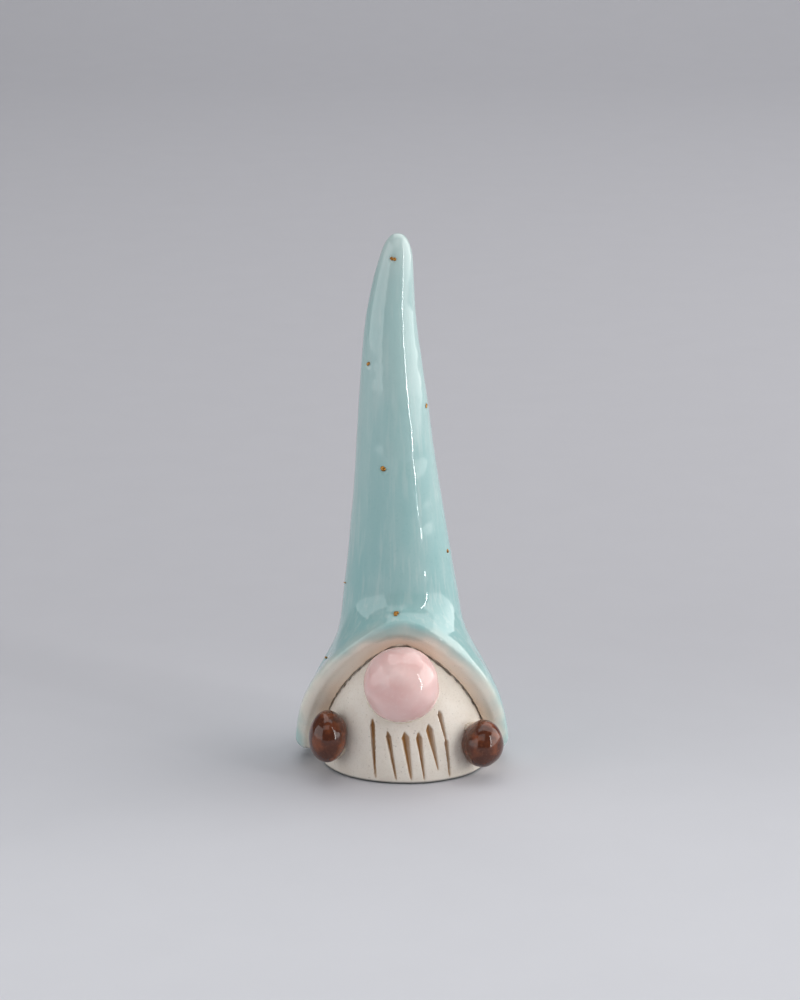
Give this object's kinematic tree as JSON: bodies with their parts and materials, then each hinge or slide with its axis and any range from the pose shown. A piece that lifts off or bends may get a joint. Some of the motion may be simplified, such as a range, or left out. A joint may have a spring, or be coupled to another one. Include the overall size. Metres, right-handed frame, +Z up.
{
  "type": "garden gnome figurine",
  "caption": "Small hand-built ceramic gnome with a tall pointed hat that arches over a round nose, a grooved beard and two ball hands, standing on a flat foot ring",
  "frame": {"origin": "centre of the bounding box, on the surface that the gnome stands on", "axes": "+Z up towards the tip of the hat; the face looks along -Y; +X is to the right of a viewer who looks at the face"},
  "size_m": [0.048, 0.0484, 0.12],
  "materials": {
    "bisque": "unglazed cream stoneware with brown oxide rubbed into the beard grooves and the crack under the lip",
    "turquoise_glaze": "glossy pale turquoise glaze that pools darker in the hollows and breaks paler on the rim and tip",
    "gold_lustre": "small beads of bronze-gold lustre",
    "slip": "unglazed cream slip that joins the clay pieces",
    "pink_glaze": "glossy soft pink glaze, mottled",
    "brown_glaze": "glossy dark brown glaze with lighter orange-brown mottling"
  },
  "bodies": {
    "root": {"body": "bisque", "hat": "bisque", "hat_glaze": "turquoise_glaze", "hat_specks": "gold_lustre", "hat_seam_slip": "slip", "nose": "pink_glaze", "nose_slip": "slip", "left_hand": "brown_glaze", "left_hand_slip": "slip", "right_hand": "brown_glaze", "right_hand_slip": "slip"}
  },
  "joints": []
}
